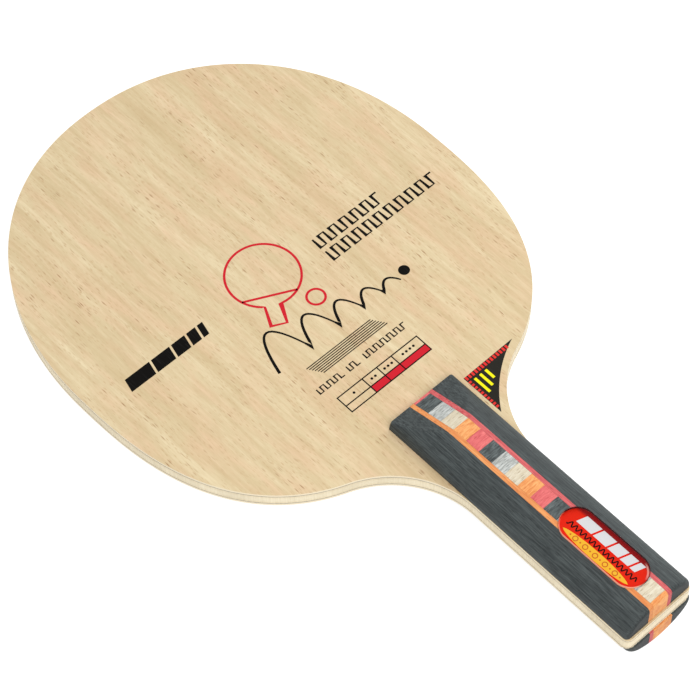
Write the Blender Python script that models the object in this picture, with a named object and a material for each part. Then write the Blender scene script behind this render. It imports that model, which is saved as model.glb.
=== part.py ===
"""A bare table tennis bat: a blade of seven glued plies with a laminated handle half on each face.

The frame's origin is at the middle of the whole length, on the blade's mid plane. +X runs
from the tip of the head to the butt of the handle, and +Z points out of the front face.
Each handle half is built in a frame of its own: X from the head end to the butt, Z up from
the glued face. The back half's frame is turned half a turn about the long axis, and its
block has slightly different measures, as hand-finished halves do.
"""

import math

import bmesh
import bpy
from mathutils import Matrix

MM = 0.001

# The blade's outline.
HEAD_LENGTH = 156.3 * MM
HEAD_HALF_WIDTH = 74.65 * MM
TIP_LENGTH = 84.8 * MM  # from the tip to the widest place
SHOULDER_LENGTH = 82.2 * MM  # from the widest place to where the head's curve would close
TIP_FULLNESS = 2.125  # exponents of the head's two curves, where 2 is an ellipse
SHOULDER_FULLNESS = 2.57
NECK_HALF_WIDTH = 13.7 * MM
NECK_FILLET = 34 * MM
BLADE_LENGTH = 256.9 * MM
BUTT_CORNER = 2.2 * MM
TIP_STEPS = 20
SHOULDER_STEPS = 18
FILLET_STEPS = 10
CORNER_STEPS = 3

# The plies, and the glue line between any two pieces.
GLUE = 0.05 * MM
CORE = 2.1 * MM
INNER_VENEER = 0.6 * MM
FIBRE = 0.2 * MM
FACE_VENEER = 0.8 * MM
EASED_EDGE = 0.7 * MM

# The handle halves: a crowned section, a ramp at the head end and rounded ends.
HALF_LENGTH = {"front": 100 * MM, "back": 101.2 * MM}
HALF_WIDTH = {"front": 13.6 * MM, "back": 13.3 * MM}  # from the middle to one side
HALF_FULLNESS = {"front": 2.1, "back": 1.9}
HALF_SHIFT = {"front": 0, "back": 0.3 * MM}  # sideways, towards +Y
BUTT_ROUND = {"front": 1.5 * MM, "back": 2.3 * MM}
HALF_HEIGHT = 8.1 * MM
HALF_STEPS = 24
RAMP_LENGTH = 17 * MM
RAMP_START = 2.8 * MM  # height of the step at the head end
RAMP_TOP = 7.8 * MM  # height where the ramp meets the crown beside the inlay
HEAD_ROUND = 0.6 * MM
ROUND_STEPS = 3

# The inlay down the middle of each handle half.
INLAY_HALF_WIDTH = 3.1 * MM
LAMELLA_WIDTH = 1.6 * MM
FIRST_INLAY = 0.9 * MM  # length of the cut-off block at the head end
INLAY_PITCH = 5.42 * MM
INLAY_COUNT = 20
INLAY_CYCLE = ("dark", "grey", "cream", "orange", "red")

# The badge in the front handle half.
BADGE_LENGTH = 32.8 * MM
BADGE_WIDTH = 11.7 * MM
BADGE_CENTRE = 76.5 * MM  # from the handle's head end
BADGE_OFFSET = 0.45 * MM  # towards the red lamella
BADGE_CLEARANCE = 0.06 * MM
POCKET_DEPTH = 0.9 * MM
LABEL_THICKNESS = 0.25 * MM
DOME_RIM = 1.0 * MM
DOME_HEIGHT = 1.8 * MM
BADGE_STEPS = 12  # round each end
DOME_RINGS = 4

MARGIN = 2 * MM  # how far a cutter runs past what it cuts
FACE_MARGIN = 1 * MM  # between the open face of the head and the handle
SAME_LEVEL = 0.001 * MM
HALVINGS = 40  # of the bracket round the place where the neck fillet starts
SHARP_ANGLE = math.radians(30)

WHOLE_LENGTH = HEAD_LENGTH + HALF_LENGTH["back"]
HANDLE_START = HEAD_LENGTH - WHOLE_LENGTH / 2
BLADE_HALF_THICKNESS = CORE / 2 + INNER_VENEER + FIBRE + FACE_VENEER + 3 * GLUE
LAMELLA_EDGE = INLAY_HALF_WIDTH + LAMELLA_WIDTH
POCKET_FLOOR = HALF_HEIGHT - POCKET_DEPTH

COLOURS = {
    "veneer": (0.79, 0.64, 0.39),
    "inner_wood": (0.83, 0.74, 0.52),
    "fibre": (0.25, 0.22, 0.17),
    "dark": (0.060, 0.076, 0.080),
    "grey": (0.58, 0.64, 0.66),
    "cream": (0.82, 0.78, 0.60),
    "orange": (0.94, 0.35, 0.10),
    "red": (0.80, 0.11, 0.15),
    "label": (0.70, 0.02, 0.01),
    "resin": (0.75, 0.03, 0.02),
}
ROUGHNESS = {"resin": 0.1, "label": 0.4}


def clear_scene():
    for old in list(bpy.data.objects):
        bpy.data.objects.remove(old, do_unlink=True)


def material(slot):
    found = bpy.data.materials.get(slot)
    if found:
        return found
    made = bpy.data.materials.new(slot)
    made.use_nodes = True
    shader = made.node_tree.nodes["Principled BSDF"]
    shader.inputs["Base Color"].default_value = (*COLOURS[slot], 1)
    shader.inputs["Roughness"].default_value = ROUGHNESS.get(slot, 0.6)
    shader.inputs["Metallic"].default_value = 0
    return made


def add_object(name, bm, slot=None, parent=None):
    """Turn a bmesh into a named object, rounded faces shaded smooth."""
    bmesh.ops.recalc_face_normals(bm, faces=bm.faces[:])
    mesh = bpy.data.meshes.new(name)
    bm.to_mesh(mesh)
    bm.free()
    mesh.shade_smooth()
    mesh.set_sharp_from_angle(angle=SHARP_ANGLE)
    made = bpy.data.objects.new(name, mesh)
    bpy.context.collection.objects.link(made)
    made.parent = parent
    if slot:
        mesh.materials.append(material(slot))
    return made


def make_cutter(guide):
    guide.hide_render = True
    guide.display_type = "WIRE"


def superellipse(length, width, fullness, angle):
    """A point on one quarter of a superellipse, where angle 0 lies on the length axis."""
    along = length * max(math.cos(angle), 0) ** (2 / fullness)
    across = width * max(math.sin(angle), 0) ** (2 / fullness)
    return along, across


def shoulder_point(angle):
    """A point on the head's curve past its widest place, with its outward normal."""
    along, across = superellipse(SHOULDER_LENGTH, HEAD_HALF_WIDTH, SHOULDER_FULLNESS, angle)
    slope_x = (along / SHOULDER_LENGTH) ** (SHOULDER_FULLNESS - 1) / SHOULDER_LENGTH
    slope_y = (across / HEAD_HALF_WIDTH) ** (SHOULDER_FULLNESS - 1) / HEAD_HALF_WIDTH
    size = math.hypot(slope_x, slope_y)
    return along, across, slope_x / size, slope_y / size


def fillet_angle():
    """Where the neck fillet leaves the head's curve, found by halving."""
    low, high = math.radians(1), math.radians(89)
    for _ in range(HALVINGS):
        middle = (low + high) / 2
        _, across, _, normal_y = shoulder_point(middle)
        if across + NECK_FILLET * normal_y < NECK_HALF_WIDTH + NECK_FILLET:
            low = middle
        else:
            high = middle
    return high


def half_outline():
    """The blade's outline on the +Y side, from the tip to the butt, measured from the tip."""
    points = []
    for step in range(TIP_STEPS):
        angle = math.pi / 2 * step / TIP_STEPS
        along, across = superellipse(TIP_LENGTH, HEAD_HALF_WIDTH, TIP_FULLNESS, angle)
        points.append((TIP_LENGTH - along, across))
    last = fillet_angle()
    for step in range(SHOULDER_STEPS):
        angle = math.pi / 2 + (last - math.pi / 2) * step / SHOULDER_STEPS
        along, across, _, _ = shoulder_point(angle)
        points.append((TIP_LENGTH + along, across))
    along, across, normal_x, normal_y = shoulder_point(last)
    centre_x = TIP_LENGTH + along + NECK_FILLET * normal_x
    centre_y = NECK_HALF_WIDTH + NECK_FILLET
    start = math.atan2(-normal_y, -normal_x)
    for step in range(FILLET_STEPS + 1):
        angle = start + (-math.pi / 2 - start) * step / FILLET_STEPS
        x = centre_x + NECK_FILLET * math.cos(angle)
        points.append((x, centre_y + NECK_FILLET * math.sin(angle)))
    corner_x = BLADE_LENGTH - BUTT_CORNER
    corner_y = NECK_HALF_WIDTH - BUTT_CORNER
    for step in range(CORNER_STEPS + 1):
        angle = math.pi / 2 * (1 - step / CORNER_STEPS)
        x = corner_x + BUTT_CORNER * math.cos(angle)
        points.append((x, corner_y + BUTT_CORNER * math.sin(angle)))
    return points


def blade_outline():
    """The whole outline, in the object's frame."""
    upper = [(x - WHOLE_LENGTH / 2, y) for x, y in half_outline()]
    lower = [(x, -y) for x, y in reversed(upper[1:])]
    return upper + lower


def extrude_outline(outline, low, high):
    bm = bmesh.new()
    face = bm.faces.new([bm.verts.new((x, y, low)) for x, y in outline])
    raised = bmesh.ops.extrude_face_region(bm, geom=[face])["geom"]
    moved = [item for item in raised if isinstance(item, bmesh.types.BMVert)]
    bmesh.ops.translate(bm, verts=moved, vec=(0, 0, high - low))
    return bm


def ease_edge(bm, level):
    """Round the outline's edge on the face at this height."""
    flat = [e for e in bm.edges if all(abs(v.co.z - level) < SAME_LEVEL for v in e.verts)]
    bmesh.ops.bevel(
        bm, geom=flat, offset=EASED_EDGE, segments=3, profile=0.5, affect="EDGES"
    )


def part_open_face(bm):
    """Divide the flat faces just before the handle, so that the head's face stands alone."""
    bmesh.ops.bisect_plane(
        bm,
        geom=bm.verts[:] + bm.edges[:] + bm.faces[:],
        plane_co=(HANDLE_START - FACE_MARGIN, 0, 0),
        plane_no=(1, 0, 0),
    )


def make_plies():
    """The seven plies, from the core outwards on both sides."""
    outline = blade_outline()
    add_object("core_ply", extrude_outline(outline, -CORE / 2, CORE / 2), "inner_wood")
    level = CORE / 2
    layers = (
        ("inner_veneer", INNER_VENEER, "inner_wood"),
        ("fibre_layer", FIBRE, "fibre"),
        ("face_veneer", FACE_VENEER, "veneer"),
    )
    for layer, thickness, slot in layers:
        low = level + GLUE
        high = low + thickness
        for side, sign in (("front", 1), ("back", -1)):
            bm = extrude_outline(outline, *sorted((sign * low, sign * high)))
            if layer == "face_veneer":
                ease_edge(bm, sign * high)
                part_open_face(bm)
            add_object(f"{side}_{layer}", bm, slot)
        level = high


def half_section(side, inset):
    """A handle half's crowned outline, drawn in by an inset, from +Y over the top to -Y."""
    points = []
    for step in range(HALF_STEPS + 1):
        angle = math.pi * step / HALF_STEPS
        folded = min(angle, math.pi - angle)
        across, up = superellipse(
            HALF_WIDTH[side] - inset, HALF_HEIGHT - inset, HALF_FULLNESS[side], folded
        )
        points.append((math.copysign(across, math.cos(angle)), up))
    return points


def rounded_end(radius):
    """The distance from an end of the handle half, and the section's inset there."""
    steps = []
    for step in range(ROUND_STEPS + 1):
        angle = math.pi / 2 * step / ROUND_STEPS
        steps.append((radius * (1 - math.sin(angle)), radius * (1 - math.cos(angle))))
    return steps


def make_blank(side, parent):
    """The whole handle half before it is divided into its glued pieces."""
    stations = rounded_end(HEAD_ROUND)[::-1]
    butt = rounded_end(BUTT_ROUND[side])
    stations += [(HALF_LENGTH[side] - x, inset) for x, inset in butt]
    bm = bmesh.new()
    rings = []
    for x, inset in stations:
        rings.append([bm.verts.new((x, y, z)) for y, z in half_section(side, inset)])
    for near, far in zip(rings, rings[1:]):
        for index in range(-1, HALF_STEPS):
            corners = (near[index], near[index + 1], far[index + 1], far[index])
            bm.faces.new(corners)
    bm.faces.new(rings[0])
    bm.faces.new(rings[-1])
    slope = (RAMP_TOP - RAMP_START) / RAMP_LENGTH
    cut = bmesh.ops.bisect_plane(
        bm,
        geom=bm.verts[:] + bm.edges[:] + bm.faces[:],
        plane_co=(0, 0, RAMP_START),
        plane_no=(-slope, 0, 1),
        clear_outer=True,
    )
    rim = [item for item in cut["geom_cut"] if isinstance(item, bmesh.types.BMEdge)]
    bmesh.ops.contextual_create(bm, geom=rim)
    blank = add_object(f"{side}_half_blank", bm, parent=parent)
    make_cutter(blank)
    return blank


def stadium(length, width, steps):
    """Points round a straight-sided outline with half-round ends, centred on the origin."""
    radius = width / 2
    reach = length / 2 - radius
    points = []
    for end, start in ((1, -math.pi / 2), (-1, math.pi / 2)):
        for step in range(steps + 1):
            angle = start + math.pi * step / steps
            x = end * reach + radius * math.cos(angle)
            points.append((x, radius * math.sin(angle)))
    return points


def cut_badge_pocket(blank, parent):
    outline = stadium(
        BADGE_LENGTH + 2 * BADGE_CLEARANCE, BADGE_WIDTH + 2 * BADGE_CLEARANCE, BADGE_STEPS
    )
    bm = extrude_outline(outline, POCKET_FLOOR, HALF_HEIGHT + MARGIN)
    pocket = add_object("badge_pocket_cutter", bm, parent=parent)
    pocket.location = (BADGE_CENTRE, BADGE_OFFSET, 0)
    make_cutter(pocket)
    cut = blank.modifiers.new("badge_pocket", "BOOLEAN")
    cut.operation = "DIFFERENCE"
    cut.solver = "EXACT"
    cut.object = pocket


def make_handle_piece(name, slot, blank, x_span, y_span):
    """One glued piece: the part of the blank inside a box, less half a glue line all round."""
    low = (x_span[0] + GLUE / 2, y_span[0] + GLUE / 2, -MARGIN)
    high = (x_span[1] - GLUE / 2, y_span[1] - GLUE / 2, HALF_HEIGHT + MARGIN)
    size = [b - a for a, b in zip(low, high)]
    middle = [(a + b) / 2 for a, b in zip(low, high)]
    bm = bmesh.new()
    place = Matrix.Translation(middle) @ Matrix.Diagonal((*size, 1))
    bmesh.ops.create_cube(bm, size=1, matrix=place)
    piece = add_object(name, bm, slot, blank.parent)
    shape = piece.modifiers.new("handle_shape", "BOOLEAN")
    shape.operation = "INTERSECT"
    shape.solver = "EXACT"
    shape.object = blank


def make_handle_half(side, turned):
    """Two side blocks, two lamellas and the row of inlay blocks between them."""
    seat = bpy.data.objects.new(f"{side}_handle_half", None)
    bpy.context.collection.objects.link(seat)
    height = BLADE_HALF_THICKNESS + GLUE
    seat.location = (HANDLE_START, HALF_SHIFT[side], -height if turned else height)
    seat.rotation_euler = (math.pi if turned else 0, 0, 0)
    blank = make_blank(side, seat)
    if not turned:
        cut_badge_pocket(blank, seat)
    whole = (-MARGIN, HALF_LENGTH[side] + MARGIN)
    edge = HALF_WIDTH[side] + MARGIN
    strips = (
        ("side_block_by_orange", "dark", (-edge, -LAMELLA_EDGE)),
        ("orange_lamella", "orange", (-LAMELLA_EDGE, -INLAY_HALF_WIDTH)),
        ("red_lamella", "red", (INLAY_HALF_WIDTH, LAMELLA_EDGE)),
        ("side_block_by_red", "dark", (LAMELLA_EDGE, edge)),
    )
    for strip, slot, y_span in strips:
        make_handle_piece(f"{side}_{strip}", slot, blank, whole, y_span)
    for number in range(INLAY_COUNT):
        start = FIRST_INLAY + (number - 1) * INLAY_PITCH
        slot = INLAY_CYCLE[(number - 1) % len(INLAY_CYCLE)]
        name = f"{side}_inlay_{number + 1:02d}_{slot}"
        x_span = (start, start + INLAY_PITCH)
        y_span = (-INLAY_HALF_WIDTH, INLAY_HALF_WIDTH)
        make_handle_piece(name, slot, blank, x_span, y_span)
    return seat


def make_badge(seat):
    """A flat label in the pocket, and a clear domed lens on the label."""
    label_low = POCKET_FLOOR + GLUE
    label_high = label_low + LABEL_THICKNESS
    outline = stadium(BADGE_LENGTH, BADGE_WIDTH, BADGE_STEPS)
    label = add_object(
        "badge_label", extrude_outline(outline, label_low, label_high), "label", seat
    )
    label.location = (BADGE_CENTRE, BADGE_OFFSET, 0)
    bm = bmesh.new()
    base = label_high + GLUE
    rings = [[bm.verts.new((x, y, base)) for x, y in outline]]
    for ring in range(DOME_RINGS):
        angle = math.pi / 2 * ring / DOME_RINGS
        inset = BADGE_WIDTH / 2 * (1 - math.cos(angle))
        level = base + DOME_RIM + (DOME_HEIGHT - DOME_RIM) * math.sin(angle)
        shape = stadium(BADGE_LENGTH - 2 * inset, BADGE_WIDTH - 2 * inset, BADGE_STEPS)
        rings.append([bm.verts.new((x, y, level)) for x, y in shape])
    for near, far in zip(rings, rings[1:]):
        for index in range(-1, len(near) - 1):
            bm.faces.new((near[index], near[index + 1], far[index + 1], far[index]))
    bm.faces.new(rings[0])
    bm.faces.new(rings[-1])
    dome = add_object("badge_dome", bm, "resin", seat)
    dome.location = (BADGE_CENTRE, BADGE_OFFSET, 0)


def main():
    clear_scene()
    make_plies()
    front = make_handle_half("front", turned=False)
    make_handle_half("back", turned=True)
    make_badge(front)
    bpy.context.view_layer.update()


main()
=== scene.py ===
"""The looks of a bare table tennis bat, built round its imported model.

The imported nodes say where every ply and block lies. Each is replaced here by the same piece
with a finer surface: a smoother outline, sanded corners and wood that shows its grain. Thin
ink prints and the badge's artwork are added. Lengths are in metres, and print layouts are in
millimetres, measured from the head end of the handle (X) and from the centre line (Y).
"""

import math

import bmesh
import bpy
from mathutils import Matrix, Vector


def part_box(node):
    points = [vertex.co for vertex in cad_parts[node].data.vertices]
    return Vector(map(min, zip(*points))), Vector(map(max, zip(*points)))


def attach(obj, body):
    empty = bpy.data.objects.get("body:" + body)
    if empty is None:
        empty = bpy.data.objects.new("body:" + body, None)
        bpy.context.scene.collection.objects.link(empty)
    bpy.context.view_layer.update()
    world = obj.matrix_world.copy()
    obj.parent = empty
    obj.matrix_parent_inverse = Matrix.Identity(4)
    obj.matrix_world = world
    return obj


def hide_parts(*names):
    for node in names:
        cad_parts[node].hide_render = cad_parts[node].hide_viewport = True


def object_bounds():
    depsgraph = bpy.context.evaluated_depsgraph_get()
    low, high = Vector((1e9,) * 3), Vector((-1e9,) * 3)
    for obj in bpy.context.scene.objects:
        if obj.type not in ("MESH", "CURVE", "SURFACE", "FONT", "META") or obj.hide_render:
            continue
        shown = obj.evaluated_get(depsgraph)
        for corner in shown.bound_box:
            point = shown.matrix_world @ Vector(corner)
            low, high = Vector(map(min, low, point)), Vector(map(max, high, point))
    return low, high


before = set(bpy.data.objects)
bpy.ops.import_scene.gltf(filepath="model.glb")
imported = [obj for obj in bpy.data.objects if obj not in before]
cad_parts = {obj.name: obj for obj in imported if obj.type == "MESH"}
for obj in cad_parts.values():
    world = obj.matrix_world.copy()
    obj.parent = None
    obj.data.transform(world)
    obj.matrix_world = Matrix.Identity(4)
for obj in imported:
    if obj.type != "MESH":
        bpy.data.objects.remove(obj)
cad_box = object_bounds()

MM = 0.001
BODY = "root"

# The blade's outline, as in the CAD source but with more points.
HEAD_HALF_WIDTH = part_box("core_ply")[1].y
TIP_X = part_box("core_ply")[0].x
BUTT_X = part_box("core_ply")[1].x
TIP_LENGTH = 84.8 * MM  # from the tip to the widest place
SHOULDER_LENGTH = 82.2 * MM  # from the widest place to where the head's curve would close
TIP_FULLNESS = 2.125  # exponents of the head's two curves, where 2 is an ellipse
SHOULDER_FULLNESS = 2.57
NECK_HALF_WIDTH = 13.7 * MM
NECK_FILLET = 34 * MM
BUTT_CORNER = 2.2 * MM
TIP_STEPS = 110
SHOULDER_STEPS = 100
FILLET_STEPS = 36
CORNER_STEPS = 8
HALVINGS = 40  # of the bracket round the place where the neck fillet starts
EASED_EDGE = 0.7 * MM
EASED_STEPS = 6

# The handle halves, in the frame of a half: X from its head end, Z up from its glued face.
SIDES = ("front", "back")
HANDLE_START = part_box("front_red_lamella")[0].x
SEAT_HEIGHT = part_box("front_red_lamella")[0].z
HALF_HEIGHT = -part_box("back_inlay_10_orange")[0].z - SEAT_HEIGHT
HALF_LENGTH = {side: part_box(f"{side}_red_lamella")[1].x - HANDLE_START for side in SIDES}
HALF_FULLNESS = {"front": 2.1, "back": 1.9}
BUTT_ROUND = {"front": 1.5 * MM, "back": 2.3 * MM}
RAMP_LENGTH = 17 * MM
RAMP_START = 2.8 * MM
RAMP_TOP = 7.8 * MM
RAMP_BLEND = 0.5 * MM  # how softly the ramp runs into the crown
HEAD_ROUND = 0.6 * MM
ROUND_STEPS = 6
RAMP_STEP = 0.5 * MM  # between stations on the ramp
RAMP_MARGIN = 4 * MM  # how far past the ramp the close stations go on
CROWN_STEP = 0.35 * MM  # between points over the crown
MIN_CROWN_STEPS = 4
SAME_STATION = 0.01 * MM
SAME_LEVEL = 0.001 * MM

# The badge.
BADGE_CENTRE = sum(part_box("badge_label"), Vector()) / 2
BADGE_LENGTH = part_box("badge_label")[1].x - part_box("badge_label")[0].x
BADGE_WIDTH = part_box("badge_label")[1].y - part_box("badge_label")[0].y
BADGE_CLEARANCE = 0.06 * MM
POCKET_GAP = 0.05 * MM  # under the label
CUTTER_HEIGHT = 5 * MM
DOME_RIM = 1.0 * MM
BADGE_STEPS = 40  # round each end
DOME_RINGS = 14
ARTWORK_SHIFT = -0.15  # of the badge's artwork across the badge, in millimetres

# Ink.
FACE_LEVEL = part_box("front_face_veneer")[1].z
INK_GAP = 0.002 * MM
INK_THICKNESS = 0.02 * MM
SHARPEST_MITRE = 0.5  # the least cosine that a stroke's corner is widened by

SHARP_ANGLE = math.radians(38)
STROKE_CORE = 0.35  # the part of a pore's radius where it has its full depth
STRONG_STROKES = 0.4  # the part of the pores that have their full depth


# ---------------------------------------------------------------- node helpers


def add(tree, kind, inputs=None, **settings):
    """Add a node. An input that is given a socket is linked, any other is set."""
    node = tree.nodes.new(kind)
    for name, value in settings.items():
        setattr(node, name, value)
    for name, value in (inputs or {}).items():
        socket = node.inputs[name]
        if isinstance(value, bpy.types.NodeSocket):
            tree.links.new(value, socket)
        else:
            socket.default_value = value
    return node


def start_material(name, roughness, specular=0.5):
    """A new material, with its node tree and its shader."""
    made = bpy.data.materials.new(name)
    made.use_nodes = True
    tree = made.node_tree
    shader = tree.nodes["Principled BSDF"]
    shader.inputs["Roughness"].default_value = roughness
    shader.inputs["Specular IOR Level"].default_value = specular
    return made, tree, shader


def place(tree):
    """The point's place in the object's own frame, in metres."""
    return add(tree, "ShaderNodeTexCoord").outputs["Object"]


def stretched(tree, vector, cell):
    """Divide the place by a cell's three lengths, so that one cell is one unit."""
    scale = [1 / length for length in cell]
    return add(
        tree, "ShaderNodeVectorMath", {0: vector, 1: scale}, operation="MULTIPLY"
    ).outputs[0]


def noise(tree, vector, cell, detail=2.0, rough=0.5):
    inputs = {
        "Vector": stretched(tree, vector, cell), "Scale": 1.0, "Detail": detail, "Roughness": rough
    }
    return add(tree, "ShaderNodeTexNoise", inputs).outputs["Fac"]


def fit(tree, value, low, high, to_low=0.0, to_high=1.0):
    """Move a value from one range to another, clamped."""
    inputs = {
        "Value": value, "From Min": low, "From Max": high, "To Min": to_low, "To Max": to_high
    }
    return add(tree, "ShaderNodeMapRange", inputs).outputs["Result"]


def maths(tree, operation, first, second):
    return add(tree, "ShaderNodeMath", {0: first, 1: second}, operation=operation).outputs[0]


def absolute(tree, value):
    return add(tree, "ShaderNodeMath", {0: value}, operation="ABSOLUTE").outputs[0]


def facing(tree, axis, normal="Normal"):
    """One part of the surface's direction, from -1 to 1."""
    geometry = add(tree, "ShaderNodeNewGeometry")
    return add(tree, "ShaderNodeSeparateXYZ", {"Vector": geometry.outputs[normal]}).outputs[axis]


def blend(tree, amount, first, second, kind="MIX"):
    """Mix two colours. They and the amount can be sockets or plain values."""
    node = add(tree, "ShaderNodeMix", data_type="RGBA", blend_type=kind)
    colour_inputs = [socket for socket in node.inputs if socket.type == "RGBA"]
    sockets = [node.inputs["Factor"], *colour_inputs]
    for socket, value in zip(sockets, (amount, first, second)):
        if isinstance(value, bpy.types.NodeSocket):
            tree.links.new(value, socket)
        else:
            socket.default_value = value if isinstance(value, float) else (*value, 1)
    return next(socket for socket in node.outputs if socket.type == "RGBA")


def dashes(tree, vector, cell, radius, share):
    """Short dark strokes: long thin spots round the points of a stretched Voronoi pattern."""
    inputs = {"Vector": stretched(tree, vector, cell), "Scale": 1.0, "Randomness": 1.0}
    spots = add(tree, "ShaderNodeTexVoronoi", inputs)
    near = fit(tree, spots.outputs["Distance"], radius, radius * STROKE_CORE)
    pick = add(tree, "ShaderNodeSeparateColor", {"Color": spots.outputs["Color"]}).outputs[0]
    chosen = fit(tree, pick, 1 - share, 1 - share * STRONG_STROKES)
    return maths(tree, "MULTIPLY", near, chosen)


def bump(tree, shader, height, distance):
    node = add(
        tree, "ShaderNodeBump", {"Height": height, "Strength": 1.0, "Distance": distance}
    )
    tree.links.new(node.outputs["Normal"], shader.inputs["Normal"])


# ---------------------------------------------------------------- materials


def wavering(tree, spot):
    """Push the place a little across the grain, so that the grain wanders."""
    drift = add(tree, "ShaderNodeTexNoise", {
        "Vector": stretched(tree, spot, (60 * MM, 40 * MM, 40 * MM)), "Scale": 1.0
    }).outputs["Color"]
    shift = add(
        tree, "ShaderNodeVectorMath", {0: drift, 1: (0.0, 4 * MM, 0.0)}, operation="MULTIPLY"
    ).outputs[0]
    return add(tree, "ShaderNodeVectorMath", {0: spot, 1: shift}, operation="ADD").outputs[0]


def veneer_material():
    """Pale straw face veneer: soft bands, streaks, fine fibres and short brown pores.

    Its cut edge round the blade is paler.
    """
    made, tree, shader = start_material("face_veneer", 0.55, 0.25)
    spot = wavering(tree, place(tree))
    bands = noise(tree, spot, (110 * MM, 5 * MM, 9 * MM), 3.0, 0.55)
    blush = noise(tree, spot, (18 * MM, 5 * MM, 9 * MM), 3.0)
    streaks = noise(tree, spot, (20 * MM, 1.8 * MM, 3 * MM), 3.0, 0.6)
    fibres = noise(tree, spot, (4 * MM, 0.42 * MM, 2 * MM), 2.0, 0.6)
    cluster = noise(tree, spot, (22 * MM, 6 * MM, 9 * MM), 2.0)
    pores = dashes(tree, spot, (4.2 * MM, 0.62 * MM, 4 * MM), 0.36, 0.42)
    flecks = dashes(tree, spot, (2.2 * MM, 0.45 * MM, 3 * MM), 0.42, 0.7)
    colour = blend(tree, fit(tree, bands, 0.3, 0.7), (0.633, 0.529, 0.338), (0.518, 0.407, 0.233))
    colour = blend(tree, fit(tree, blush, 0.42, 0.7, 0.0, 0.7), colour, (0.61, 0.42, 0.265))
    colour = blend(tree, fit(tree, streaks, 0.4, 0.8, 0.0, 0.72), colour, (0.445, 0.325, 0.17))
    colour = blend(tree, fit(tree, fibres, 0.35, 0.75, 0.0, 0.3), colour, (0.426, 0.319, 0.17))
    crowd = fit(tree, cluster, 0.4, 0.65, 0.15, 1.0)
    fleck_depth = maths(tree, "MULTIPLY", flecks, fit(tree, cluster, 0.35, 0.6, 0.4, 1.0))
    colour = blend(tree, maths(tree, "MULTIPLY", fleck_depth, 0.7), colour, (0.42, 0.275, 0.14))
    pore_depth = maths(tree, "MULTIPLY", pores, crowd)
    colour = blend(tree, maths(tree, "MULTIPLY", pore_depth, 0.9), colour, (0.28, 0.15, 0.065))
    cut_edge = fit(tree, absolute(tree, facing(tree, "Z")), 0.6, 0.1, 0.0, 0.8)
    colour = blend(tree, cut_edge, colour, (0.79, 0.70, 0.52))
    tree.links.new(colour, shader.inputs["Base Color"])
    tree.links.new(fit(tree, fibres, 0.3, 0.7, 0.5, 0.62), shader.inputs["Roughness"])
    relief = maths(tree, "SUBTRACT", maths(tree, "MULTIPLY", fibres, 0.4), pore_depth)
    bump(tree, shader, relief, 0.03 * MM)
    return made


def edge_wood_material(name, light, dark):
    """Wood seen on the blade's edge, with cut fibres running across the thickness."""
    made, tree, shader = start_material(name, 0.7, 0.25)
    spot = place(tree)
    strokes = noise(tree, spot, (0.5 * MM, 0.5 * MM, 6 * MM), 3.0, 0.6)
    bands = noise(tree, spot, (14 * MM, 14 * MM, 20 * MM), 2.0)
    colour = blend(tree, fit(tree, strokes, 0.35, 0.75), light, dark)
    shade = [channel * 0.86 for channel in dark]
    colour = blend(tree, fit(tree, bands, 0.4, 0.7, 0.0, 0.5), colour, shade)
    tree.links.new(colour, shader.inputs["Base Color"])
    bump(tree, shader, strokes, 0.02 * MM)
    return made


def dyed_wood_material(name, grain, light, dark, streak, relief=0.03 * MM, end_shade=1.0):
    """Dyed wood: fibres along one axis, slow changes of depth, deeper streaks and end grain."""
    made, tree, shader = start_material(name, 0.62, 0.28)
    spot = place(tree)
    fibres = noise(tree, spot, grain["fibre"], 3.0, 0.7)
    slow = noise(tree, spot, grain["slow"], 3.0)
    pores = dashes(tree, spot, grain["pore"], 0.4, 0.8)
    colour = blend(tree, fit(tree, fibres, 0.36, 0.64), dark, light)
    colour = blend(tree, fit(tree, slow, 0.4, 0.75, 0.0, 0.45), colour, dark)
    colour = blend(tree, maths(tree, "MULTIPLY", pores, 0.6), colour, streak)
    end_grain = fit(tree, absolute(tree, facing(tree, "X")), 0.5, 0.95)
    colour = blend(tree, end_grain, colour, (end_shade, end_shade, end_shade), "MULTIPLY")
    tree.links.new(colour, shader.inputs["Base Color"])
    tree.links.new(fit(tree, fibres, 0.3, 0.7, 0.52, 0.72), shader.inputs["Roughness"])
    height = maths(tree, "SUBTRACT", fibres, maths(tree, "MULTIPLY", pores, 0.8))
    bump(tree, shader, height, relief)
    return made


ALONG = {
    "fibre": (9 * MM, 0.45 * MM, 0.45 * MM),
    "slow": (40 * MM, 3 * MM, 3 * MM),
    "pore": (3.2 * MM, 0.5 * MM, 0.5 * MM),
}
ACROSS = {
    "fibre": (0.45 * MM, 3 * MM, 3 * MM),
    "slow": (1.8 * MM, 7 * MM, 7 * MM),
    "pore": (0.5 * MM, 2.4 * MM, 2.4 * MM),
}


def fibre_layer_material():
    """A thin woven synthetic layer, seen only as a dark line on the blade's edge."""
    made, tree, shader = start_material("fibre_layer", 0.5)
    spot = place(tree)
    weave = noise(tree, spot, (0.8 * MM, 0.8 * MM, 0.1 * MM), 2.0)
    colour = blend(tree, fit(tree, weave, 0.35, 0.65), (0.20, 0.172, 0.13), (0.36, 0.31, 0.24))
    tree.links.new(colour, shader.inputs["Base Color"])
    bump(tree, shader, weave, 0.02 * MM)
    return made


def ink_material(name, colour):
    """Screen-printed ink, a little thin where the wood's fibres stand proud."""
    made, tree, shader = start_material(name, 0.7, 0.04)
    spot = place(tree)
    fibres = noise(tree, spot, (6 * MM, 0.3 * MM, 0.3 * MM), 3.0, 0.6)
    thin = [channel * 0.95 + 0.015 for channel in colour]
    shown = blend(tree, fit(tree, fibres, 0.55, 0.85, 0.0, 0.7), colour, thin)
    tree.links.new(shown, shader.inputs["Base Color"])
    bump(tree, shader, fibres, 0.015 * MM)
    return made


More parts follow.
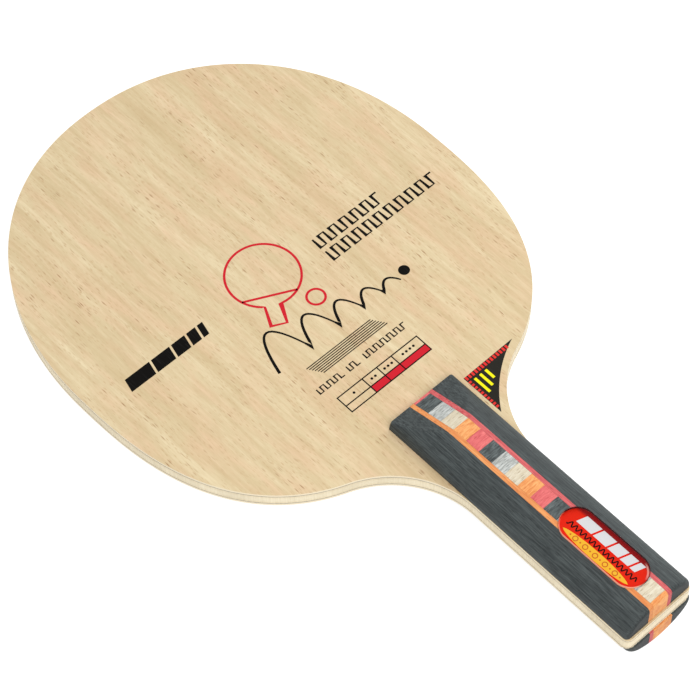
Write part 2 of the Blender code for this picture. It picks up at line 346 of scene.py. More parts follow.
def label_material():
    """The badge's red print, with painted shade on its far side and painted glints at its rim."""
    made, tree, shader = start_material("badge_print_and_painted_light", 0.5, 0.04)
    axes = add(tree, "ShaderNodeSeparateXYZ", {"Vector": place(tree)})
    along = maths(tree, "SUBTRACT", axes.outputs["X"], BADGE_CENTRE.x)
    across = maths(tree, "SUBTRACT", axes.outputs["Y"], BADGE_CENTRE.y)
    reach = (BADGE_LENGTH - BADGE_WIDTH) / 2
    beyond = maths(tree, "SUBTRACT", absolute(tree, along), reach)
    past_end = maths(tree, "MAXIMUM", beyond, 0.0)
    flat = add(tree, "ShaderNodeCombineXYZ", {"X": past_end, "Y": across}).outputs[0]
    outward = add(tree, "ShaderNodeVectorMath", {0: flat}, operation="LENGTH").outputs["Value"]
    speckle = noise(tree, place(tree), (0.25 * MM, 0.25 * MM, 0.25 * MM), 2.0)
    # Painted shade: the red darkens towards the far side, standing in for shade seen in the lens.
    painted_far_shade = fit(tree, across, 3.5 * MM, 4.5 * MM)
    colour = blend(tree, painted_far_shade, (0.53, 0.012, 0.003), (0.17, 0.004, 0.006))
    colour = blend(tree, fit(tree, speckle, 0.3, 0.7, 0.0, 0.12), colour, (0.66, 0.03, 0.01))
    # Painted highlight: a pale glint along the rim on the near side.
    rim = fit(tree, outward, BADGE_WIDTH / 2 - 0.5 * MM, BADGE_WIDTH / 2 - 0.3 * MM)
    near_side = fit(tree, across, -1.5 * MM, -4.0 * MM, 0.0, 0.45)
    colour = blend(tree, maths(tree, "MULTIPLY", rim, near_side), colour, (0.75, 0.36, 0.22))
    # Painted highlight: a pale reflection on a ring near the butt end, on the far side.
    off_ring = absolute(tree, maths(tree, "SUBTRACT", outward, 5.3 * MM))
    ring = fit(tree, off_ring, 0.45 * MM, 0.1 * MM)
    butt_end = fit(tree, along, reach + 1.0 * MM, reach + 2.6 * MM)
    far_side = fit(tree, across, 1.0 * MM, 2.6 * MM)
    corner = fit(tree, maths(tree, "MULTIPLY", butt_end, far_side), 0.0, 1.0, 0.0, 0.6)
    colour = blend(tree, maths(tree, "MULTIPLY", ring, corner), colour, (0.80, 0.42, 0.36))
    tree.links.new(colour, shader.inputs["Base Color"])
    return made


def resin_material():
    """The clear poured lens over the badge's print, with painted highlight and shade on its rim.
    """
    made, tree, shader = start_material("clear_resin_with_painted_rim", 0.3, 0.1)
    inside = add(tree, "ShaderNodeNewGeometry").outputs["Backfacing"]
    outside = maths(tree, "SUBTRACT", 1.0, inside)
    # Painted light on the rim: a pale painted highlight on the near side, painted shade on the far
    # side.
    turned = fit(tree, inside, 0.0, 1.0, 1.0, -1.0)
    outward = maths(tree, "MULTIPLY", facing(tree, "Y", "True Normal"), turned)
    far = fit(tree, outward, -0.35, 0.1)
    colour = blend(tree, far, (0.90, 0.42, 0.28), (0.045, 0.004, 0.006))
    tree.links.new(colour, shader.inputs["Base Color"])
    clear = add(tree, "ShaderNodeBsdfTransparent").outputs[0]
    gloss = add(tree, "ShaderNodeBsdfGlossy", {"Roughness": 0.25}).outputs[0]
    sheen = add(tree, "ShaderNodeFresnel", {"IOR": 1.12}).outputs[0]
    amount = maths(tree, "MULTIPLY", fit(tree, sheen, 0.02, 1.0), outside)
    lens = add(tree, "ShaderNodeMixShader", {0: amount, 1: clear, 2: gloss}).outputs[0]
    # The steep rim shows this painted colour in place of the clear lens.
    level = absolute(tree, facing(tree, "Z", "True Normal"))
    steep = fit(tree, level, 0.4, 0.1, 0.0, 0.9)
    rimmed = add(tree, "ShaderNodeMixShader", {0: steep, 1: lens, 2: shader.outputs[0]}).outputs[0]
    output = next(node for node in tree.nodes if node.type == "OUTPUT_MATERIAL")
    tree.links.new(rimmed, output.inputs["Surface"])
    return made


INKS = {
    "black_ink": (0.004, 0.0035, 0.003),
    "corner_ink": (0.018, 0.017, 0.014),
    "red_ink": (0.48, 0.014, 0.024),
    "dash_ink": (0.60, 0.03, 0.025),
    "yellow_ink": (0.74, 0.68, 0.01),
    "white_ink": (0.50, 0.50, 0.51),
    "amber_ink": (0.62, 0.34, 0.025),
    "rust_ink": (0.42, 0.09, 0.015),
}


def make_materials():
    return {
        "veneer": veneer_material(),
        "core": edge_wood_material("core_wood", (0.79, 0.70, 0.52), (0.68, 0.585, 0.405)),
        "inner": edge_wood_material(
            "inner_veneer_wood", (0.77, 0.67, 0.48), (0.65, 0.545, 0.365)
        ),
        "fibre": fibre_layer_material(),
        "dark": dyed_wood_material(
            "charcoal_wood", ALONG, (0.066, 0.079, 0.079), (0.020, 0.025, 0.026),
            (0.009, 0.012, 0.012), relief=0.05 * MM, end_shade=0.62,
        ),
        "dark_across": dyed_wood_material(
            "charcoal_block", ACROSS, (0.110, 0.130, 0.130), (0.026, 0.033, 0.034),
            (0.010, 0.013, 0.013), relief=0.05 * MM,
        ),
        "orange": dyed_wood_material(
            "orange_wood", ALONG, (0.69, 0.305, 0.106), (0.55, 0.175, 0.048), (0.40, 0.10, 0.02)
        ),
        "orange_across": dyed_wood_material(
            "orange_block", ACROSS, (0.75, 0.37, 0.138), (0.57, 0.186, 0.047),
            (0.42, 0.106, 0.026),
        ),
        "red": dyed_wood_material(
            "red_wood", ALONG, (0.58, 0.135, 0.13), (0.40, 0.047, 0.055), (0.25, 0.03, 0.035)
        ),
        "red_across": dyed_wood_material(
            "red_block", ACROSS, (0.66, 0.162, 0.153), (0.49, 0.072, 0.079),
            (0.33, 0.048, 0.047),
        ),
        "grey_across": dyed_wood_material(
            "grey_block", ACROSS, (0.53, 0.55, 0.53), (0.235, 0.245, 0.23), (0.07, 0.08, 0.08)
        ),
        "cream_across": dyed_wood_material(
            "cream_block", ACROSS, (0.605, 0.56, 0.445), (0.478, 0.405, 0.284),
            (0.257, 0.193, 0.114),
        ),
        **{name: ink_material(name, colour) for name, colour in INKS.items()},
        "label": label_material(),
        "resin": resin_material(),
    }


# ---------------------------------------------------------------- pieces


def add_piece(name, bm, material, replaced=None):
    """Turn a bmesh in the frame's coordinates into a piece of the bat."""
    bmesh.ops.recalc_face_normals(bm, faces=bm.faces[:])
    mesh = bpy.data.meshes.new(name)
    bm.to_mesh(mesh)
    bm.free()
    mesh.shade_smooth()
    mesh.set_sharp_from_angle(angle=SHARP_ANGLE)
    mesh.materials.append(material)
    made = bpy.data.objects.new(name, mesh)
    bpy.context.collection.objects.link(made)
    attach(made, BODY)
    if replaced:
        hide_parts(replaced)
    return made


def superellipse(length, width, fullness, angle):
    """A point on one quarter of a superellipse, where angle 0 lies on the length axis."""
    along = length * max(math.cos(angle), 0) ** (2 / fullness)
    across = width * max(math.sin(angle), 0) ** (2 / fullness)
    return along, across


def shoulder_point(angle):
    """A point on the head's curve past its widest place, with its outward normal."""
    along, across = superellipse(SHOULDER_LENGTH, HEAD_HALF_WIDTH, SHOULDER_FULLNESS, angle)
    slope_x = (along / SHOULDER_LENGTH) ** (SHOULDER_FULLNESS - 1) / SHOULDER_LENGTH
    slope_y = (across / HEAD_HALF_WIDTH) ** (SHOULDER_FULLNESS - 1) / HEAD_HALF_WIDTH
    size = math.hypot(slope_x, slope_y)
    return along, across, slope_x / size, slope_y / size


def fillet_angle():
    """Where the neck fillet leaves the head's curve, found by halving."""
    low, high = math.radians(1), math.radians(89)
    for _ in range(HALVINGS):
        middle = (low + high) / 2
        _, across, _, normal_y = shoulder_point(middle)
        if across + NECK_FILLET * normal_y < NECK_HALF_WIDTH + NECK_FILLET:
            low = middle
        else:
            high = middle
    return high


def half_outline():
    """The blade's outline on the +Y side, from the tip to the butt."""
    points = []
    widest_x = TIP_X + TIP_LENGTH
    for step in range(TIP_STEPS):
        angle = math.pi / 2 * step / TIP_STEPS
        along, across = superellipse(TIP_LENGTH, HEAD_HALF_WIDTH, TIP_FULLNESS, angle)
        points.append((widest_x - along, across))
    last = fillet_angle()
    for step in range(SHOULDER_STEPS):
        angle = math.pi / 2 + (last - math.pi / 2) * step / SHOULDER_STEPS
        along, across, _, _ = shoulder_point(angle)
        points.append((widest_x + along, across))
    along, across, normal_x, normal_y = shoulder_point(last)
    centre_x = widest_x + along + NECK_FILLET * normal_x
    centre_y = NECK_HALF_WIDTH + NECK_FILLET
    start = math.atan2(-normal_y, -normal_x)
    for step in range(FILLET_STEPS + 1):
        angle = start + (-math.pi / 2 - start) * step / FILLET_STEPS
        x = centre_x + NECK_FILLET * math.cos(angle)
        points.append((x, centre_y + NECK_FILLET * math.sin(angle)))
    corner_x = BUTT_X - BUTT_CORNER
    corner_y = NECK_HALF_WIDTH - BUTT_CORNER
    for step in range(CORNER_STEPS + 1):
        angle = math.pi / 2 * (1 - step / CORNER_STEPS)
        x = corner_x + BUTT_CORNER * math.cos(angle)
        points.append((x, corner_y + BUTT_CORNER * math.sin(angle)))
    return points


def blade_outline():
    upper = half_outline()
    return upper + [(x, -y) for x, y in reversed(upper[1:])]


def add_plate(bm, outline, low, high):
    """A closed flat plate: an outline between two levels. Returns its top face."""
    bottom = [bm.verts.new((x, y, low)) for x, y in outline]
    top = [bm.verts.new((x, y, high)) for x, y in outline]
    bm.faces.new(bottom)
    for index in range(-1, len(outline) - 1):
        bm.faces.new((bottom[index], bottom[index + 1], top[index + 1], top[index]))
    return bm.faces.new(top)


def ease_edge(bm, face):
    """Round the edge round a flat face, and keep the face itself flat."""
    bmesh.ops.bevel(
        bm, geom=list(face.edges), offset=EASED_EDGE, segments=EASED_STEPS, profile=0.5,
        affect="EDGES",
    )


def make_ply(node, outline, material, eased=None):
    low, high = (corner.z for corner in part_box(node))
    bm = bmesh.new()
    top = add_plate(bm, outline, low, high)
    if eased == "front":
        ease_edge(bm, top)
    if eased == "back":
        bottom = next(face for face in bm.faces if all(v.co.z == low for v in face.verts))
        ease_edge(bm, bottom)
    return add_piece(f"fine_{node}", bm, material, node)


def make_blade(materials):
    outline = blade_outline()
    make_ply("core_ply", outline, materials["core"])
    for side in SIDES:
        make_ply(f"{side}_inner_veneer", outline, materials["inner"])
        make_ply(f"{side}_fibre_layer", outline, materials["fibre"])
        make_ply(f"{side}_face_veneer", outline, materials["veneer"], eased=side)


def half_edges(side):
    """The two outer edges of a handle half, low Y first."""
    blocks = [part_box(f"{side}_side_block_by_{colour}") for colour in ("orange", "red")]
    return min(box[0].y for box in blocks), max(box[1].y for box in blocks)


def crown_angle(across, width, fullness):
    """The angle on the crown's superellipse at a place across the handle."""
    share = min(abs(across) / width, 1)
    angle = math.acos(share ** (fullness / 2))
    return angle if across >= 0 else math.pi - angle


def crown_row(side, x, y_span, steps):
    """Points over the top of the handle half at one station, from high Y to low Y."""
    fullness, radius = HALF_FULLNESS[side], BUTT_ROUND[side]
    low_edge, high_edge = half_edges(side)
    butt = max(0.0, x - (HALF_LENGTH[side] - radius)) / radius
    head = max(0.0, HEAD_ROUND - x) / HEAD_ROUND
    inset = radius * (1 - math.sqrt(max(0.0, 1 - butt * butt)))
    side_inset = inset + HEAD_ROUND * (1 - math.sqrt(max(0.0, 1 - head * head)))
    width, height = (high_edge - low_edge) / 2 - side_inset, HALF_HEIGHT - inset
    end, start = (crown_angle(y, width, fullness) for y in y_span)
    ramp = RAMP_START + (RAMP_TOP - RAMP_START) * x / RAMP_LENGTH
    row = []
    for step in range(steps + 1):
        angle = start + (end - start) * step / steps
        across, up = superellipse(width, height, fullness, min(angle, math.pi - angle))
        row.append((x, math.copysign(across, math.cos(angle)), soft_lower(up, ramp)))
    return row


def soft_lower(first, second):
    """The lower of two heights, rounded over where they cross."""
    gap = max(RAMP_BLEND - abs(first - second), 0) / RAMP_BLEND
    return max(min(first, second) - gap * gap * RAMP_BLEND / 4, 0)


def stations(side, x_low, x_high):
    """Places along the handle half, close together on the ramp and where the ends are rounded."""
    places = {x_low, x_high}
    for step in range(ROUND_STEPS + 1):
        turn = math.sin(math.pi / 2 * step / ROUND_STEPS)
        places.add(HALF_LENGTH[side] - BUTT_ROUND[side] * (1 - turn))
        places.add(HEAD_ROUND * (1 - turn))
    for step in range(int((RAMP_LENGTH + RAMP_MARGIN) / RAMP_STEP)):
        places.add(HEAD_ROUND + step * RAMP_STEP)
    inside = sorted(x for x in places if x_low <= x <= x_high)
    kept = [inside[0]]
    for x in inside[1:]:
        if x - kept[-1] > SAME_STATION:
            kept.append(x)
    return kept


def handle_block(side, x_span, y_span):
    """One glued piece of a handle half: its sanded top, its flat sides and its glued face."""
    bm = bmesh.new()
    steps = max(MIN_CROWN_STEPS, math.ceil((y_span[1] - y_span[0]) / CROWN_STEP))
    rows = []
    for x in stations(side, *x_span):
        rows.append([bm.verts.new(point) for point in crown_row(side, x, y_span, steps)])
    for near, far in zip(rows, rows[1:]):
        for index in range(steps):
            bm.faces.new((near[index], near[index + 1], far[index + 1], far[index]))
    rim = rows[0][:-1] + [row[-1] for row in rows[:-1]]
    rim += rows[-1][:0:-1] + [row[0] for row in rows[:0:-1]]
    feet = []
    for top in rim:
        grounded = top.co.z < SAME_LEVEL
        feet.append(top if grounded else bm.verts.new((top.co.x, top.co.y, 0)))
    for index in range(-1, len(rim) - 1):
        corners = (rim[index], rim[index + 1], feet[index + 1], feet[index])
        unique = list(dict.fromkeys(corners))
        if len(unique) > 2:
            bm.faces.new(unique)
    bm.faces.new(feet)
    return bm


def make_handle_piece(node, side, material):
    """Build a piece in its half's own frame, then seat it on its face of the blade."""
    low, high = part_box(node)
    shift = sum(half_edges(side)) / 2
    x_span = (low.x - HANDLE_START, high.x - HANDLE_START)
    y_span = (low.y - shift, high.y - shift)
    if side == "back":
        y_span = (shift - high.y, shift - low.y)
    bm = handle_block(side, x_span, y_span)
    turn = Matrix.Rotation(math.pi if side == "back" else 0, 4, "X")
    seat = Matrix.Translation((HANDLE_START, shift, 0)) @ turn
    seat = seat @ Matrix.Translation((0, 0, SEAT_HEIGHT))
    bmesh.ops.transform(bm, matrix=seat, verts=bm.verts)
    return add_piece(f"fine_{node}", bm, material, node)


def make_handle(materials, pocket):
    strips = {
        "side_block_by_orange": "dark",
        "side_block_by_red": "dark",
        "orange_lamella": "orange",
        "red_lamella": "red",
    }
    pocket_reach = BADGE_LENGTH / 2 + BADGE_CLEARANCE
    pocket_start, pocket_end = BADGE_CENTRE.x - pocket_reach, BADGE_CENTRE.x + pocket_reach
    for node in sorted(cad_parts):
        side, _, rest = node.partition("_")
        if rest in strips:
            slot = strips[rest]
            piece = make_handle_piece(node, side, materials[slot])
        elif rest.startswith("inlay"):
            slot = rest.split("_")[-1]
            piece = make_handle_piece(node, side, materials[f"{slot}_across"])
        else:
            continue
        low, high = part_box(node)
        if side == "front" and low.x < pocket_end and high.x > pocket_start:
            cut = piece.modifiers.new("badge_pocket", "BOOLEAN")
            cut.operation = "DIFFERENCE"
            cut.solver = "EXACT"
            cut.object = pocket


# ---------------------------------------------------------------- badge


def stadium(length, width, steps=BADGE_STEPS):
    """Points round a straight-sided outline with half-round ends, round the badge's centre."""
    radius = width / 2
    reach = length / 2 - radius
    points = []
    for end, start in ((1, -math.pi / 2), (-1, math.pi / 2)):
        for step in range(steps + 1):
            angle = start + math.pi * step / steps
            x = BADGE_CENTRE.x + end * reach + radius * math.cos(angle)
            points.append((x, BADGE_CENTRE.y + radius * math.sin(angle)))
    return points


def make_pocket():
    """The hidden cutter that lets the badge into the front handle half."""
    bm = bmesh.new()
    outline = stadium(BADGE_LENGTH + 2 * BADGE_CLEARANCE, BADGE_WIDTH + 2 * BADGE_CLEARANCE)
    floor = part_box("badge_label")[0].z - POCKET_GAP
    add_plate(bm, outline, floor, floor + CUTTER_HEIGHT)
    bmesh.ops.recalc_face_normals(bm, faces=bm.faces[:])
    mesh = bpy.data.meshes.new("badge_pocket_cutter")
    bm.to_mesh(mesh)
    bm.free()
    pocket = bpy.data.objects.new("badge_pocket_cutter", mesh)
    bpy.context.collection.objects.link(pocket)
    pocket.hide_render = True
    pocket.display_type = "WIRE"
    return pocket


def make_label(materials):
    low, high = (corner.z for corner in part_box("badge_label"))
    bm = bmesh.new()
    add_plate(bm, stadium(BADGE_LENGTH, BADGE_WIDTH), low, high)
    add_piece("fine_badge_label", bm, materials["label"], "badge_label")


def make_dome(materials):
    low, high = (corner.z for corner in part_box("badge_dome"))
    rise = high - low - DOME_RIM
    bm = bmesh.new()
    rings = [[bm.verts.new((x, y, low)) for x, y in stadium(BADGE_LENGTH, BADGE_WIDTH)]]
    for ring in range(DOME_RINGS):
        angle = math.pi / 2 * ring / DOME_RINGS
        inset = BADGE_WIDTH / 2 * (1 - math.cos(angle))
        level = low + DOME_RIM + rise * math.sin(angle)
        shape = stadium(BADGE_LENGTH - 2 * inset, BADGE_WIDTH - 2 * inset)
        rings.append([bm.verts.new((x, y, level)) for x, y in shape])
    for near, far in zip(rings, rings[1:]):
        for index in range(-1, len(near) - 1):
            bm.faces.new((near[index], near[index + 1], far[index + 1], far[index]))
    bm.faces.new(rings[0])
    bm.faces.new(rings[-1])
    add_piece("fine_badge_dome", bm, materials["resin"], "badge_dome")


# ---------------------------------------------------------------- prints


def on_face(points):
    """From the print layout's millimetres to the frame's metres."""
    return [(HANDLE_START + x * MM, y * MM) for x, y in points]


def on_badge(points):
    """From millimetres round the badge's centre to the frame's metres."""
    centre = BADGE_CENTRE
    return [(centre.x + x * MM, centre.y + (y + ARTWORK_SHIFT) * MM) for x, y in points]


def add_stroke(bm, points, width, low, closed=False):
    """A closed ribbon of ink along a line. The width is one number or one for each point."""
    count = len(points)
    widths = width if isinstance(width, list) else [width] * count
    rings = []
    for index in range(count):
        here = Vector(points[index])
        before = Vector(points[index - 1]) if closed or index else here
        after = Vector(points[(index + 1) % count]) if closed or index < count - 1 else here
        along = (after - before).normalized()
        turn = along.dot((after - here).normalized()) if after != here else 1
        side = Vector((-along.y, along.x)) * widths[index] / 2 / max(turn, SHARPEST_MITRE)
        ring = []
        for level, edge in ((low, here + side), (low, here - side)):
            ring.append(bm.verts.new((edge.x, edge.y, level)))
        for edge in (here - side, here + side):
            ring.append(bm.verts.new((edge.x, edge.y, low + INK_THICKNESS)))
        rings.append(ring)
    pairs = list(zip(rings, rings[1:]))
    if closed:
        pairs.append((rings[-1], rings[0]))
    else:
        bm.faces.new(rings[0])
        bm.faces.new(rings[-1])
    for near, far in pairs:
        for index in range(4):
            corners = (near[index - 1], near[index], far[index], far[index - 1])
            bm.faces.new(corners)


def circle(x, y, radius, steps=48):
    points = []
    for step in range(steps):
        angle = 2 * math.pi * step / steps
        points.append((x + radius * math.cos(angle), y + radius * math.sin(angle)))
    return points


def block(x_low, x_high, y_low, y_high, slant=0):
    """A block on the face, whose two ends can lean. The X axis is the upright one."""
    return on_face([
        (x_low, y_low + slant), (x_low, y_high + slant), (x_high, y_high), (x_high, y_low)
    ])


def add_print(name, material, plates=(), strokes=(), level=None):
    """One colour of ink: plates are closed outlines, strokes are (points, width, closed)."""
    low = FACE_LEVEL + INK_GAP if level is None else level
    bm = bmesh.new()
    for outline in plates:
        add_plate(bm, outline, low, low + INK_THICKNESS)
    for points, width, closed in strokes:
        add_stroke(bm, points, width, low, closed)
    return add_piece(name, bm, material)


def print_bold_row(materials):
    """A row of leaning blocks that get shorter."""
    x_low, x_high, y, gap, slant = -68.4, -63.5, -61.5, 0.8, 1.2
    plates = []
    for length in (9.8, 7.4, 5.4, 3.6, 2.2):
        plates.append(block(x_low, x_high, y, y + length, slant))
        y += length + gap
    add_print("print_bold_blocks", materials["black_ink"], plates)


def print_emblem(materials):
    """A plain bat and ball in red outline. The bat is drawn along X and then turned."""
    head_x, head_y, radius = -68.5, -3.0, 12.2
    lean, steps, line = math.radians(-27), 72, 0.8 * MM
    half_width, handle_end = 2.6, 19.5
    neck = math.asin(half_width / radius)
    outline = []
    for step in range(steps + 1):
        angle = neck + (2 * math.pi - 2 * neck) * step / steps
        outline.append((radius * math.cos(angle), radius * math.sin(angle)))
    outline += [(handle_end, -half_width), (handle_end, half_width)]
    chord_x = 8.2
    chord_y = math.sqrt(radius * radius - chord_x * chord_x)
    chord = [(chord_x, -chord_y), (chord_x, chord_y)]
    strokes = []
    for shape, closed in ((outline, True), (chord, False)):
        turned = []
        for x, y in shape:
            turned.append((
                head_x + x * math.cos(lean) - y * math.sin(lean),
                head_y + x * math.sin(lean) + y * math.cos(lean),
            ))
        strokes.append((on_face(turned), line, closed))
    strokes.append((on_face(circle(-51.0, 3.6, 3.0)), line, True))
    add_print("print_emblem", materials["red_ink"], strokes=strokes)


def meander(x_low, x_high, y_low, y_high, period):
    """The corners of a square wave that runs along Y."""
    points = [(x_low, y_low)]
    y = y_low
    while y + period / 2 <= y_high:
        x = points[-1][0]
        points.append((x_low + x_high - x, y))
        y += period / 2
        points.append((x_low + x_high - x, y))
    return points


def print_meanders(materials):
    """Square-wave borders: two tall ones, and a small broken one nearer the handle."""
    start, period, line = 17.6, 4.6, 0.62 * MM
    tall = []
    for x_low, x_high, y_high in ((-68.0, -63.8, 46.6), (-61.8, -57.5, 65.6)):
        tall.append((on_face(meander(x_low, x_high, start, y_high, period)), line, False))
    add_print("print_tall_meanders", materials["black_ink"], strokes=tall)
    x_low, x_high, period, line = -25.4, -23.3, 2.9, 0.4 * MM
    small = []
    for y_low, y_high in ((-20.0, -9.4), (-7.6, -2.6), (-0.6, 17.0)):
        small.append((on_face(meander(x_low, x_high, y_low, y_high, period)), line, False))
    add_print("print_small_meander", materials["black_ink"], strokes=small)


def print_bounce(materials):
    """The path of a bouncing ball: arcs that get lower and thinner, with the ball at the end."""
    ground, y, steps = -37.5, -24.0, 16
    ball_rise, ball_gap, ball_radius = 2.0, 3.2, 1.9
    points, widths = [], []
    for length, height in ((14, 14), (12, 11), (10, 8), (8.5, 5.5), (7, 3.5)):
        for step in range(steps):
            share = step / steps
            points.append((ground - height * 4 * share * (1 - share), y + length * share))
            widths.append((1.0 - 0.45 * share) * MM)
        y += length
    points.append((ground, y))
    widths.append(0.5 * MM)
    ball = on_face(circle(ground - ball_rise, y + ball_gap, ball_radius))
    path = (on_face(points), widths, False)
    add_print("print_bounce_path", materials["black_ink"], [ball], [path])


def print_ply_mark(materials):
    """Seven parallel lines, one for each ply."""
    x_first, y_low, y_high = -33.2, -17.0, 10.0
    pitch, line, shift = 0.76, 0.34, 0.5
    plates = []
    for ply in range(7):
        x, moved = x_first + ply * pitch, ply * shift
        plates.append(block(x, x + line, y_low + moved, y_high + moved))
    add_print("print_ply_mark", materials["black_ink"], plates)


def print_scale(materials):
    """A four-step scale: a ruled box with dots above and a bar that is filled from step two."""
    x_top, x_bar, x_end = -18.7, -14.75, -12.0
    columns = (-17.4, -7.05, -0.92, 5.25, 16.1)
    half = 0.21  # of a line's width
    dot_pitch, dot_radius, dot_steps = 1.5, 0.45, 20
    plates = []
    for x in (x_top, x_bar, x_end):
        plates.append(block(x - half, x + half, columns[0] - half, columns[-1] + half))
    for y in columns:
        for x_low, x_high in ((x_top, x_bar), (x_bar, x_end)):
            plates.append(block(x_low + half, x_high - half, y - half, y + half))
    for number, (y_low, y_high) in enumerate(zip(columns, columns[1:])):
        for dot in range(number + 1):
            y = (y_low + y_high) / 2 + (dot - number / 2) * dot_pitch
            plates.append(on_face(circle((x_top + x_bar) / 2, y, dot_radius, dot_steps)))
    add_print("print_scale_lines", materials["black_ink"], plates)
    bars = []
    for y_low, y_high in zip(columns[1:], columns[2:]):
        bars.append(block(x_bar + half, x_end - half, y_low + half, y_high - half))
    add_print("print_scale_bars", materials["red_ink"], bars)


def arc_through(first, middle, last, steps):
    """Points on the circle through three points, from the first to the last."""
    (ax, ay), (bx, by), (cx, cy) = first, middle, last
    twice = 2 * (ax * (by - cy) + bx * (cy - ay) + cx * (ay - by))
    a2, b2, c2 = ax * ax + ay * ay, bx * bx + by * by, cx * cx + cy * cy
    x = (a2 * (by - cy) + b2 * (cy - ay) + c2 * (ay - by)) / twice
    y = (a2 * (cx - bx) + b2 * (ax - cx) + c2 * (bx - ax)) / twice
    radius = math.hypot(ax - x, ay - y)
    start, end = math.atan2(ay - y, ax - x), math.atan2(cy - y, cx - x)
    turn = (end - start + math.pi) % (2 * math.pi) - math.pi
    points = []
    for step in range(steps + 1):
        angle = start + turn * step / steps
        points.append((x + radius * math.cos(angle), y + radius * math.sin(angle)))
    return points


def print_corner(materials):
    """A black corner piece at the shoulder, with a dashed border and three yellow stripes."""
    corner = (2.6, 15.7)
    edge = arc_through((19.2, 15.6), (9.9, 24.2), (2.3, 37.0), 24)
    add_print("print_corner", materials["corner_ink"], [on_face([corner] + edge)])
    level = FACE_LEVEL + 2 * INK_GAP + INK_THICKNESS
    pitch, dash = 1.32, 0.8
    border = []
    for step in range(14):
        y = 16.0 + step * pitch
        border.append(block(2.6, 4.0, y, y + dash))
    for step in range(10):
        x = 4.6 + step * pitch
        border.append(block(x, x + dash, 15.75, 16.75))
    add_print("print_corner_dashes", materials["dash_ink"], border, level=level)
    x_start, line = 4.9, 0.95 * MM
    stripes = []
    for y, x_end in ((18.3, 11.6), (20.6, 10.4), (22.9, 8.8)):
        stripes.append((on_face([(x_start, y), (x_end, y)]), line, False))
    add_print("print_corner_stripes", materials["yellow_ink"], strokes=stripes, level=level)


def print_badge_blocks(materials, level):
    x, y_low, y_high, gap, slant = -12.0, 0.85, 4.5, 0.7, 1.2
    blocks = []
    for length in (6.1, 5.2, 4.3, 3.2, 2.1):
        low_edge = [(x, y_low), (x + length, y_low)]
        high_edge = [(x + length + slant, y_high), (x + slant, y_high)]
        blocks.append(on_badge(low_edge + high_edge))
        x += length + gap
    add_print("print_badge_blocks", materials["white_ink"], blocks, level=level)


def print_badge_wave(materials, level):
    start, length, middle, height, period = -13.6, 27.6, -0.85, 0.75, 1.84
    steps, line = 240, 0.42 * MM
    wave = []
    for step in range(steps + 1):
        x = start + length * step / steps
        wave.append((x, middle + height * math.sin(2 * math.pi * x / period)))
    strokes = [(on_badge(wave), line, False)]
    add_print("print_badge_wave", materials["black_ink"], strokes=strokes, level=level)


def print_badge_leaf(materials, level):
    middle, half_length, half_width, fullness, steps = -3.55, 13.2, 1.55, 0.62, 32
    leaf = []
    for sign in (1, -1):
        for step in range(steps):
            share = step / steps
            along = -half_length + 2 * half_length * (share if sign > 0 else 1 - share)
            rise = half_width * (4 * share * (1 - share)) ** fullness
            leaf.append((along, middle + sign * rise))
    add_print("print_badge_leaf", materials["amber_ink"], [on_badge(leaf)], level=level)
    ring_line, ring_radius, dot_radius = 0.3 * MM, 0.8, 0.28
    rings = []
    for x in (-8, -4, 0, 4, 8):
        rings.append((on_badge(circle(x, middle, ring_radius, 24)), ring_line, True))
    dots = [on_badge(circle(x, middle, dot_radius, 16)) for x in (-10, -6, -2, 2, 6, 10)]
    above = level + INK_THICKNESS + INK_GAP
    add_print("print_badge_rings", materials["rust_ink"], dots, rings, level=above)


def print_badge(materials):
    """The badge's artwork: leaning white blocks, a black wave and an amber leaf with rings."""
    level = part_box("badge_label")[1].z + INK_GAP
    print_badge_blocks(materials, level)
    print_badge_wave(materials, level)
    print_badge_leaf(materials, level)


def make_prints(materials):
    print_bold_row(materials)
    print_emblem(materials)
    print_meanders(materials)
    print_bounce(materials)
    print_ply_mark(materials)
    print_scale(materials)
    print_corner(materials)
    print_badge(materials)


# ---------------------------------------------------------------- stage


CAMERA_AIM = Vector((-3.35 * MM, -1.1 * MM, 0))
CAMERA_DISTANCE = 0.8844
CAMERA_AZIMUTH = math.radians(47.5)
CAMERA_ELEVATION = math.radians(56.1)
CAMERA_ROLL = math.radians(-0.7)
CAMERA_LENS = 147
CAMERA_SENSOR = 36
FLOOR_SIZE = 6.0
FLOOR_GAP = 0.1 * MM
FLOOR_GREY = 0.25
FLOOR_GLOW = 0.9
STUDIO_STRENGTH = 0.74


def direction(azimuth, elevation):
    """The unit vector towards an azimuth (0 is -Y, turning towards +X) and an elevation."""
    flat = math.cos(elevation)
    return Vector((math.sin(azimuth) * flat, -math.cos(azimuth) * flat, math.sin(elevation)))


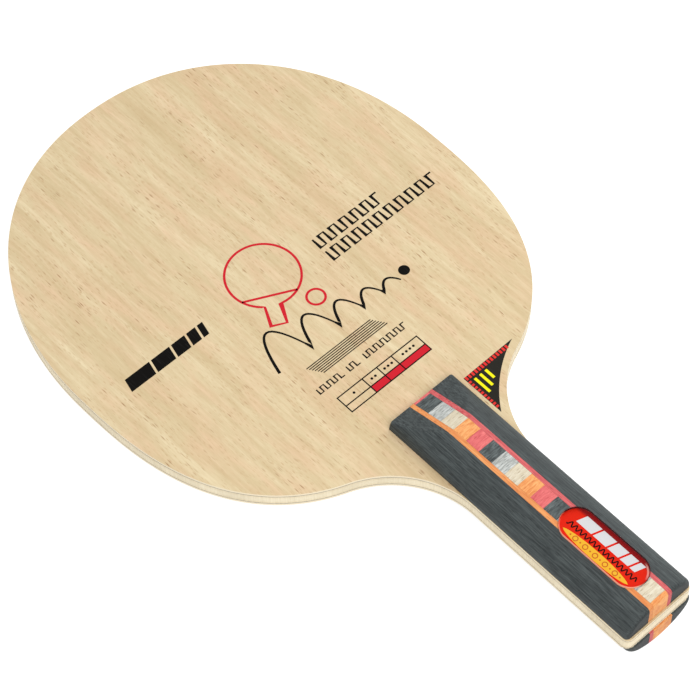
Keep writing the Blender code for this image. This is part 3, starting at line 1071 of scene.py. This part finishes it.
def make_camera():
    data = bpy.data.cameras.new("camera")
    data.lens = CAMERA_LENS
    data.sensor_width = CAMERA_SENSOR
    made = bpy.data.objects.new("camera", data)
    bpy.context.collection.objects.link(made)
    back = direction(CAMERA_AZIMUTH, CAMERA_ELEVATION)
    made.location = CAMERA_AIM + back * CAMERA_DISTANCE
    facing = (-back).to_track_quat("-Z", "Y").to_matrix().to_4x4()
    turned = facing @ Matrix.Rotation(CAMERA_ROLL, 4, "Z")
    made.rotation_euler = turned.to_euler()
    bpy.context.scene.camera = made


def make_floor():
    """A plain pale floor under the bat, with a glow of its own that keeps it even."""
    made, _, shader = start_material("floor", 0.9, 0.2)
    shader.inputs["Base Color"].default_value = (FLOOR_GREY, FLOOR_GREY, FLOOR_GREY, 1)
    shader.inputs["Emission Color"].default_value = (1, 1, 1, 1)
    shader.inputs["Emission Strength"].default_value = FLOOR_GLOW
    half = FLOOR_SIZE / 2
    level = cad_box[0].z - FLOOR_GAP
    mesh = bpy.data.meshes.new("floor")
    square = ((-half, -half), (half, -half), (half, half), (-half, half))
    mesh.from_pydata([(x, y, level) for x, y in square], [], [(0, 1, 2, 3)])
    mesh.materials.append(made)
    floor = bpy.data.objects.new("floor", mesh)
    bpy.context.collection.objects.link(floor)


def add_light(name, azimuth, elevation, distance, size, power):
    """A square light aimed at the frame's origin. Angles are in degrees, power in watts."""
    data = bpy.data.lights.new(name, "AREA")
    data.shape = "SQUARE"
    data.size = size
    data.energy = power
    made = bpy.data.objects.new(name, data)
    bpy.context.collection.objects.link(made)
    back = direction(math.radians(azimuth), math.radians(elevation))
    made.location = back * distance
    made.rotation_euler = (-back).to_track_quat("-Z", "Y").to_euler()


def make_lights():
    world = bpy.data.worlds.new("studio")
    world.use_nodes = True
    background = world.node_tree.nodes["Background"]
    background.inputs["Color"].default_value = (1.0, 1.0, 1.0, 1)
    background.inputs["Strength"].default_value = STUDIO_STRENGTH
    bpy.context.scene.world = world
    add_light("key", 198, 42, 1.6, 1.2, 13.5)
    add_light("fill", 75, 55, 0.75, 0.5, 3.2)
    bpy.context.scene.view_settings.view_transform = "Standard"


def main():
    make_camera()
    materials = make_materials()
    make_blade(materials)
    make_handle(materials, make_pocket())
    make_label(materials)
    make_dome(materials)
    make_prints(materials)
    make_floor()
    make_lights()


main()
